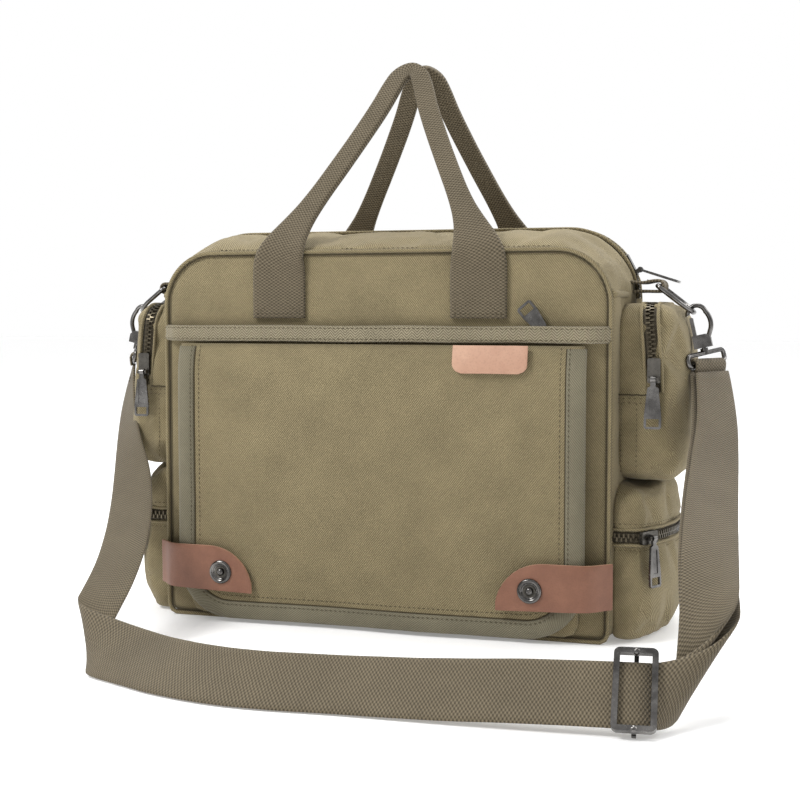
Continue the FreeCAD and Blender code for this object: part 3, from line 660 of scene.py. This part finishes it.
def tabs():
    path = [vec(p) for p in ((160.2, -70.4, 0), (158.6, -71.6, 0), (156, -73.6, 0), (152, -78, 0),
                             (147.5, -81.8, 0), (142, -83.2, 0), (134, -83.6, 0), (122, -83.7, 0))]
    path += [vec((x, -83.75, 0)) for x in (118, 114, 110, 106, 102, 98, 94, 91, 88.5, 87, 86.3)]
    for side, s in SIDES:
        rows = []
        for p in path:
            x = p.x
            low = 22 + 2 * (x - 86) / 70
            high = 54.0 if x > 120 else 22 + 32 * math.sqrt(max(0.0, 1 - ((120 - x) / 34.2) ** 2.2))
            row = []
            for k in range(9):
                v = low + (high - low) * k / 8
                sway = ripple((x * s, 0, v), 0.5, 0.05)
                row.append(vec((x, p.y - 0.35 + sway, v)))
            rows.append(row)
        obj = grid("tab_" + side + "_strip", handed(rows, s), TAB_LEATHER,
                   thick=1.8, offset=0)
        obj.data.materials.append(LEATHER_EDGE)
        obj.modifiers["thickness"].material_offset_rim = 1
        edge = obj.modifiers.new("edge", "BEVEL")
        edge.width = 0.0003
        edge.segments = 2
        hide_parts("leather_tab_" + side)
        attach(obj, "tab_" + side)
        snap("snap_" + side, vec((s * 109, -85.3, 36)), "tab_" + side)


def snap(name, centre, body_name):
    """Dished ring, recess and stud of a press fastener, facing the front. The recess is a dark disc, painted
    shade for the hollow.
    """
    profiles = (
        ("ring", GUNMETAL, ((8.2, -0.6), (8.2, 0.2), (7.7, 1.1), (6.9, 1.35), (5.8, 0.9), (5.0, 0.2),
                            (4.9, -0.6))),
        # The recess disc is dark as painted shade of the hollow, not as a darker metal.
        ("recess", DARK_METAL_AND_RECESS_SHADE, ((5.3, -0.5), (5.3, 0.1), (3.4, -0.1), (0.01, -0.1), (0.01, -0.5))),
        ("stud", GUNMETAL, ((2.4, -0.2), (2.4, 0.7), (1.9, 1.4), (1.0, 1.8), (0.01, 1.9), (0.01, -0.2))),
    )
    for part, material, profile in profiles:
        rows = []
        for k in range(37):
            a = 2 * math.pi * k / 36
            d = vec((math.cos(a), 0, math.sin(a)))
            rows.append([centre + d * r - Y * y for r, y in profile])
        obj = grid(name + "_" + part, rows, material, wrap=True)
        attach(obj, body_name)


# ---- side pockets -----------------------------------------------------------------------
def round_box(half, low, high, r, n=6, steps=10):
    """Outline in YZ with rounded corners, from the lower back corner upwards."""
    out = []
    corners = ((half - r, low + r, -90), (half - r, high - r, 0), (r - half, high - r, 90),
               (r - half, low + r, 180))
    arcs = [[(cy + r * math.cos(math.radians(a0 + 90 * k / n)),
              cz + r * math.sin(math.radians(a0 + 90 * k / n))) for k in range(n + 1)]
            for cy, cz, a0 in corners]
    for arc, following in zip(arcs, arcs[1:] + arcs[:1]):
        (a, b), (c, d) = arc[-1], following[0]
        out += arc[:-1] + [(a + (c - a) * k / steps, b + (d - b) * k / steps) for k in range(steps)]
    return out


def upper_pocket(side, s):
    stages = ((157.0, 0, 0), (160, 0.5, 0), (166, 1.5, 1), (173, 1.8, 1), (179, 0.8, 0.4),
              (182, -1.6, -1), (183, -2.0, -1.4), (184, -1.6, -1), (187, 0.6, 0.4), (191, 0.2, 0),
              (195, -3, -2), (198.5, -9, -6), (200.6, -18, -14), (201.2, -27, -24))
    rows = []
    for x, grow, high in stages:
        outline = round_box(50 + grow, 107 - high * 0.6, 220 + high, max(4.0, 16 + grow))
        rows.append([vec((x - 0.035 * max(0.0, z - 165) ** 1.25 * min(1.0, (x - 157) / 30)
                          - 0.05 * max(0.0, 132 - z) * min(1.0, (x - 157) / 30), y, z)) for y, z in outline])
    obj = shell("upper_pocket_cloth_" + side, handed(rows, s), CANVAS)

    def held(p):
        x = abs(p.x)
        return 1.0 if x < 161 else (0.9 if 180.5 < x < 185.5 and abs(p.y) > 40 else 0.0)

    soften(obj, 4.0, held, 2.6, 0.06, 4.0)
    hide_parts("upper_pocket_" + side)
    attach(obj, "bag")
    outline = round_box(50.3, 107, 220.4, 16)
    path, normals = [], []
    for y, z in outline:
        if z > 161:
            path.append(vec((s * (183.0 - 0.035 * max(0.0, z - 165) ** 1.25 * 0.85), y, z)))
            core = vec((0, max(-34.0, min(34.0, y)), max(123.0, min(204.0, z))))
            normals.append((vec((0, y, z)) - core).normalized())
    start = max(range(len(path)), key=lambda i: (path[i] - path[i - 1]).length)
    path, normals = path[start:] + path[:start], normals[start:] + normals[:start]
    if s > 0:
        path, normals = path[::-1], normals[::-1]
    zipper("upper_zipper_" + side, path, normals, 4.6, "upper_zipper_chain_" + side)
    for k, x in enumerate((177.6, 188.4)):
        edge = [vec((s * (x - 0.035 * max(0.0, p.z - 165) ** 1.25 * 0.85), p.y, p.z)) + n * 0.9
                for p, n in zip(path, normals)]
        lip = cord_piece("upper_zip_lip_%s_%d" % (side, k), resample(edge, 4), 1.2, CANVAS)
        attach(lip, "bag")
    seam = [(s * x, -52.2, 162 + 0.3 * math.sin(x)) for x in range(160, 179, 3)]
    # Dark tube along the pocket's middle seam: painted shade of the crease.
    crease = cord_piece("upper_mid_seam_crease_shade_" + side, seam, 0.5, CREASE_SHADE, 6)
    sew = stitches("upper_pocket_stitch_" + side,
                   [[(s * x, -52.4, z) for x in range(160, 179, 3)] for z in (159.6, 156.8)]
                   + [[(s * x, y, z) for z in range(112, 157, 4)] for x, y in ((162, -52.2), (172, -52.3))])
    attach(crease, "bag")
    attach(sew, "bag")


def plan_line(grow, n=18):
    """Plan of a lower pocket in XY, from the body at the front round the arc to the body at
    the back, with the outward normal."""
    front, radius = 60.0 + grow, 108.0 + grow
    half = math.asin((front - 7) / radius)
    out = [((157.0 + k * 2.6, -front), (0, -1)) for k in range(6)]
    arc = [-half + 2 * half * k / n for k in range(n + 1)]
    corner = 85 + radius * math.cos(half)
    out += [((corner - 3.4, -front + 0.5), (0.45, -0.9)), ((corner - 1.0, -front + 2.6), (0.75, -0.65))]
    out += [((85 + radius * math.cos(a), radius * math.sin(a)), (math.cos(a), math.sin(a))) for a in arc]
    back = [((x, -y), (nx, -ny)) for (x, y), (nx, ny) in out[:8]][::-1]
    return out + back


def lower_pocket(side, s):
    stages = ((1.0, -3.0), (5, -1.0), (14, 0.4), (30, 1.2), (46, 1.4), (58, 1.0), (64, 0.2),
              (67.5, -1.8), (70, -2.4), (72.5, -1.8), (76, 1.2), (82, 2.6), (89, 1.8), (96, -1.5),
              (101, -6), (104, -12), (105.4, -20))
    rows = []
    for z, grow in stages:
        line = [vec((x, y, z)) for (x, y), _ in plan_line(grow)]
        pull_in = max(0, 40 - z) * 0.10
        line = [vec((p.x - pull_in * max(0, (p.x - 165) / 28), p.y, p.z)) for p in line]
        row = line + [vec((157.0, y, z)) for y in (40, 20, 0, -20, -40)]
        rows.append(row)
    obj = shell("lower_pocket_cloth_" + side, handed(rows, s), CANVAS)

    def held(p):
        x = abs(p.x)
        return 1.0 if x < 160 or p.z < 3 else (0.95 if 67 < p.z < 73 else 0.0)

    soften(obj, 4.0, held, 2.6, 0.07, 4.5)
    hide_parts("lower_pocket_" + side)
    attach(obj, "bag")
    line = [(p, n) for p, n in plan_line(0.4) if p[1] < 50 or p[0] > 176]
    path = [vec((s * x, y, 70)) for (x, y), _ in line]
    normals = [vec((s * nx, ny, 0)) for _, (nx, ny) in line]
    zipper("lower_zipper_" + side, path, normals, 3.4, "lower_zipper_chain_" + side)
    for k, z in enumerate((64.8, 75.2)):
        lip = cord_piece("lower_zip_lip_%s_%d" % (side, k),
                         resample([vec((p.x, p.y, z)) + n * 0.6 for p, n in zip(path, normals)], 4),
                         1.2, CANVAS)
        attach(lip, "bag")
    sew = stitches("lower_pocket_stitch_" + side,
                   [[vec((p.x, p.y, 61.6)) + n * 1.1 for p, n in zip(path, normals)],
                    [vec((p.x, p.y, 79)) + n * 2.6 for p, n in zip(path, normals)]])
    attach(sew, "bag")


# ---- webbing ----------------------------------------------------------------------------
def nurbs(points, steps=10):
    """Points along a NURBS curve through control points in metres."""
    data = bpy.data.curves.new("route", "CURVE")
    data.dimensions = "3D"
    spline = data.splines.new("NURBS")
    spline.points.add(len(points) - 1)
    for control, p in zip(spline.points, points):
        control.co = (*p, 1.0)
    spline.order_u = 3
    spline.use_endpoint_u = True
    spline.resolution_u = steps
    obj = bpy.data.objects.new("route", data)
    collection.objects.link(obj)
    bpy.context.view_layer.update()
    mesh = bpy.data.meshes.new_from_object(obj)
    out = [v.co.copy() for v in mesh.vertices]
    bpy.data.objects.remove(obj)
    bpy.data.curves.remove(data)
    bpy.data.meshes.remove(mesh)
    return out


def webbing(name, rows, thick=2.0, steps=10, folded=0.0):
    """Flat webbing along rows of (centre, half width vector), metres. folded is the thickness
    in mm halfway along, if it differs. Returns the piece and the points of its centre line."""
    near = nurbs([vec(c) + vec(h) for c, h in rows], steps)
    far = nurbs([vec(c) - vec(h) for c, h in rows], steps)
    middle = [(a + b) / 2 for a, b in zip(near, far)]
    across = [-1, -0.94, -0.8, -0.5, -0.2, 0.2, 0.5, 0.8, 0.94, 1]
    shape = [0.35, 0.9, 1, 0.94, 1, 1, 0.94, 1, 0.9, 0.35]
    points, uvs = [], []
    length = 0.0
    for i, (a, b, c, t) in enumerate(zip(near, far, middle, tangents(middle))):
        half = (a - b) / 2
        flat = t.cross(half).normalized()
        size = thick
        if folded:
            size += (folded - thick) * math.sin(math.pi * i / (len(near) - 1)) ** 0.6
        if i:
            length += (c - middle[i - 1]).length
        sway = 1 + ripple(c / MM, 0.009, 0.05)
        for face in (1, -1):
            order = across if face > 0 else across[::-1]
            heights = shape if face > 0 else shape[::-1]
            for u, h in zip(order, heights):
                points.append((c + half * u * sway + flat * face * h * size * MM / 2) / MM)
                uvs.append((u * half.length, length))
    n = 2 * len(across)
    faces = []
    for r in range(len(near) - 1):
        for i in range(n):
            j = (i + 1) % n
            faces.append((r * n + i, r * n + j, (r + 1) * n + j, (r + 1) * n + i))
    faces += [tuple(range(n))[::-1], tuple((len(near) - 1) * n + i for i in range(n))]
    return piece(name, points, faces, WEBBING, uvs), middle


def handles():
    lean = 64.4 / 131
    legs = [(211.5, 70.5, 19), (222, 70.5, 19), (233, 70.5, 19), (241.6, 70.5, 19), (250, 70.3, 18.6),
            (259, 68.4, 16.5), (274, 61.5, 10.6), (290, 52.5, 7.3), (325, 33.5, 7.0), (357, 17.5, 7.0),
            (373, 11.5, 7.0), (382, 7, 6.6)]
    for name, side, apex_x in (("front", -1, 5.0), ("rear", 1, 11.0)):
        points = []
        for way, part in ((-1, legs), (1, legs[::-1])):
            for z, x, half in part:
                y = -69.6 if z < 243 else -70.6 + max(0.0, z - 258) * lean
                shift = apex_x * max(0.0, z - 241) / 148
                points.append((vec((way * x + shift, y, z)), half))
            if way < 0:
                points.append((vec((apex_x, -70.6 + 131 * lean, 386)), 6.4))
        rows = []
        for i, (c, half) in enumerate(points):
            t = (points[min(i + 1, len(points) - 1)][0] - points[max(i - 1, 0)][0]).normalized()
            normal = vec((0, -1, lean if c.z > 258 else 0)).normalized()
            turn = t.cross(normal).normalized() * half
            if side > 0:
                c, turn = vec((c.x, -c.y, c.z)), vec((turn.x, -turn.y, turn.z))
            rows.append((c * MM, turn * MM))
        obj, _ = webbing(name + "_handle_web", rows, steps=12, folded=5.6)
        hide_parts(name + "_handle", name + "_handle_patches")
        y = side * 69.6 * MM
        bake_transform(obj)
        lines = []
        front = side * 70.85
        for way in (-1, 1):
            x0, x1, low, high = way * 70.5 - 15.5, way * 70.5 + 15.5, 214.5, 238.5
            lines += [[(x0, front, low), (x1, front, low)], [(x1, front, low), (x1, front, high)],
                      [(x1, front, high), (x0, front, high)], [(x0, front, high), (x0, front, low)],
                      [(x0, front, low), (x1, front, high)], [(x0, front, high), (x1, front, low)]]
        sew = stitches(name + "_patch_stitch", lines, THREAD, 3.0, 2.2, 0.32)
        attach(sew, "bag")


STRAP_LEFT = [
    ((-0.2129, -0.013, 0.176), (0.0089, -0.0168, 0)),
    ((-0.213, -0.022, 0.152), (0.012, -0.0146, 0.002)),
    ((-0.203, -0.042, 0.124), (0.015, -0.011, 0.004)),
    ((-0.181, -0.076, 0.097), (0.0175, -0.004, 0.005)),
    ((-0.161, -0.118, 0.071), (0.0182, -0.002, 0.003)),
    ((-0.148, -0.158, 0.050), (0.018, -0.004, -0.001)),
    ((-0.142, -0.194, 0.033), (0.016, -0.010, -0.008)),
    ((-0.141, -0.216, 0.0185), (0.013, -0.0135, -0.016)),
    ((-0.122, -0.226, 0.0155), (-0.004, -0.013, -0.014)),
    ((-0.096, -0.2356, 0.0136), (-0.0085, -0.012, -0.0124)),
    ((-0.062, -0.2506, 0.0134), (-0.005, -0.0138, -0.0122)),
    ((-0.016, -0.2596, 0.0134), (-0.001, -0.0146, -0.0122)),
    ((0.042, -0.2535, 0.0134), (0.0016, -0.0146, -0.0122)),
    ((0.098, -0.253, 0.0152), (0.0016, -0.0138, -0.013)),
    ((0.150, -0.251, 0.0186), (0.0016, -0.0131, -0.0137)),
    ((0.209, -0.2454, 0.019), (0.0016, -0.0131, -0.0137)),
]
STRAP_RIGHT = [
    ((0.209, -0.2454, 0.019), (0.0016, -0.0131, -0.0137)),
    ((0.223, -0.238, 0.0193), (-0.005, -0.0125, -0.016)),
    ((0.235, -0.219, 0.028), (-0.014, -0.011, -0.022)),
    ((0.234, -0.203, 0.049), (-0.015, -0.009, -0.009)),
    ((0.228, -0.166, 0.073), (-0.0152, -0.008, 0.005)),
    ((0.224, -0.120, 0.095), (-0.0144, -0.0105, 0.006)),
    ((0.2215, -0.074, 0.119), (-0.0132, -0.0125, 0.005)),
    ((0.2195, -0.036, 0.148), (-0.011, -0.0153, 0.002)),
    ((0.2129, -0.014, 0.176), (-0.009, -0.0167, 0)),
]
STRAP_RETURN = [
    ((0.213, -0.2396, 0.018), (0.0005, -0.0129, -0.0137)),
    ((0.2194, -0.2334, 0.0184), (-0.005, -0.0125, -0.016)),
    ((0.2306, -0.2209, 0.0319), (-0.014, -0.011, -0.022)),
    ((0.2336, -0.2069, 0.0536), (-0.015, -0.009, -0.009)),
    ((0.2301, -0.1678, 0.0768), (-0.0152, -0.008, 0.005)),
    ((0.2266, -0.1216, 0.0986), (-0.0144, -0.0105, 0.006)),
    ((0.2244, -0.0759, 0.1222), (-0.0132, -0.0125, 0.005)),
    ((0.2228, -0.038, 0.1506), (-0.011, -0.0153, 0.002)),
    ((0.2166, -0.0162, 0.176), (-0.009, -0.0167, 0)),
]


def strap():
    left, left_line = webbing("strap_left_web", STRAP_LEFT)
    right, right_line = webbing("strap_right_web", STRAP_RIGHT)
    back, back_line = webbing("strap_return_web", STRAP_RETURN)
    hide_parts("strap_left_run")
    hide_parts("strap_right_run")
    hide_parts("strap_return")
    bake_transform(left)
    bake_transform(right)
    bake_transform(back)


def strap_ends():
    """The webbing's turns round the lower bar of each eye, and the sewn end on the left."""
    for side, s in SIDES:
        centre = vec((s * 212.9, -12, 181.2))
        wide = vec((s * 0.47, 0.883, 0)) * 17.6
        out = wide.cross(Z).normalized()
        if out.y > 0:
            out = -out
        route = [(2.3, -5.6), (2.8, -3.0), (3.0, 0)]
        route += [(3.0 * math.cos(a), 3.0 * math.sin(a)) for a in [math.pi * k / 10 for k in range(1, 10)]]
        route += [(-3.0, 0), (-2.8, -3.0), (-2.3, -5.6)]
        rows = [((centre + out * a + Z * b) * MM, wide * MM) for a, b in route]
        obj, _ = webbing("strap_end_" + side, rows, 1.8, 5)
        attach(obj, "eye_" + side)
    (top, half), (below, _) = STRAP_LEFT[:2]
    for k, share in enumerate((0.42, 0.52)):
        centre = vec(top).lerp(vec(below), share) / MM
        wide = vec(half) / MM
        normal = wide.cross(vec(below) - vec(top)).normalized()
        normal = normal if normal.y < 0 else -normal
        line = [centre + wide * u + normal * 1.5 for u in (-0.85, -0.4, 0, 0.4, 0.85)]
        sew = stitches("strap_end_stitch_%d" % k, [line], THREAD, 3.0, 2.2, 0.35)
        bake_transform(sew)


def side_loops():
    for side, s in SIDES:
        route = [(160.5, 229.2), (166, 229.4), (172, 229.6), (177, 229.4)]
        route += [(181 + 3.6 * math.sin(a), 233 - 3.6 * math.cos(a))
                  for a in [math.pi * k / 8 for k in range(9)]]
        route += [(177, 236.4), (172, 235.2), (166, 235.4), (160.5, 236.0)]
        rows = [(vec((s * x, -12, z)) * MM, vec((0, 12.2, 0)) * MM) for x, z in route]
        obj, _ = webbing("side_loop_web_" + side, rows, 2.0, 5)
        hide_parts("side_loop_" + side)
        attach(obj, "bag")
        sew = stitches("side_loop_stitch_" + side,
                       [[(s * 174, y, 237.0) for y in range(-22, 0, 3)]], THREAD, 3.0,
                       2.2, 0.3)
        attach(sew, "bag")


# ---- metal pieces kept from the frame ---------------------------------------------------
def finish_metal():
    for name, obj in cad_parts.items():
        if obj.hide_render:
            continue
        dark = "slider" in name
        obj.data.materials.clear()
        obj.data.materials.append(DARK_METAL_AND_RECESS_SHADE if dark else GUNMETAL)
        for polygon in obj.data.polygons:
            polygon.use_smooth = True
        edge = obj.modifiers.new("edge", "BEVEL")
        edge.width = 0.00025
        edge.segments = 2
        edge.limit_method = "ANGLE"
        edge.angle_limit = 0.6
        edge.harden_normals = True


body()
main_zipper()
under_pocket()
band()
flap()
label()
tabs()
for side_name, sign in SIDES:
    upper_pocket(side_name, sign)
    lower_pocket(side_name, sign)
handles()
strap()
strap_ends()
side_loops()
finish_metal()


# ---- stage, light and camera ------------------------------------------------------------
def area(name, place, size, power, colour=(1, 1, 1)):
    data = bpy.data.lights.new(name, "AREA")
    data.size = size
    data.energy = power
    data.color = colour
    obj = bpy.data.objects.new(name, data)
    obj.location = place
    aim = Vector((0, -0.05, 0.12)) - Vector(place)
    obj.rotation_euler = aim.to_track_quat("-Z", "Y").to_euler()
    collection.objects.link(obj)


def stage():
    floor = piece("floor", [(-9000, -9000, 0), (9000, -9000, 0), (9000, 9000, 0), (-9000, 9000, 0)],
                  [(0, 1, 2, 3)], CANVAS)
    paint = Shader("floor_paint")
    where = paint.add("TexCoord").outputs["Object"]
    paint.set(Base_Color=paint.mix(paint.noise(where, 3.0), rgb(0.84, 0.84, 0.84), rgb(0.86, 0.86, 0.86)),
              Roughness=0.6, Specular_IOR_Level=0.3)
    paint.set(Emission_Color=rgb(1, 1, 1), Emission_Strength=0.24)
    floor.data.materials.clear()
    floor.data.materials.append(paint.material)
    scene = bpy.context.scene
    scene.view_settings.view_transform = "Standard"
    world = bpy.data.worlds.new("studio")
    world.use_nodes = True
    nodes, links = world.node_tree.nodes, world.node_tree.links
    sky = nodes["Background"]
    where = nodes.new("ShaderNodeTexCoord")
    parts = nodes.new("ShaderNodeSeparateXYZ")
    level = nodes.new("ShaderNodeMapRange")
    links.new(where.outputs["Generated"], parts.inputs[0])
    links.new(parts.outputs[1], level.inputs["Value"])
    for key, value in (("From Min", -0.6), ("From Max", 0.3), ("To Min", 0.62), ("To Max", 1.0)):
        level.inputs[key].default_value = value
    links.new(level.outputs[0], sky.inputs["Strength"])
    sky.inputs["Color"].default_value = rgb(1, 1, 1)
    scene.world = world
    area("key", (-0.9, -1.1, 1.5), 0.6, 26)
    area("rim", (1.4, 0.3, 1.0), 0.8, 8)
    area("top", (0.0, 0.5, 1.8), 0.9, 24)


def camera():
    data = bpy.data.cameras.new("camera")
    data.lens = 62.3
    data.sensor_width = 36
    obj = bpy.data.objects.new("camera", data)
    obj.location = (0.298, -0.9515, 0.217)
    obj.rotation_euler = (math.radians(86.28), 0, math.radians(17.7))
    collection.objects.link(obj)
    bpy.context.scene.camera = obj


stage()
camera()
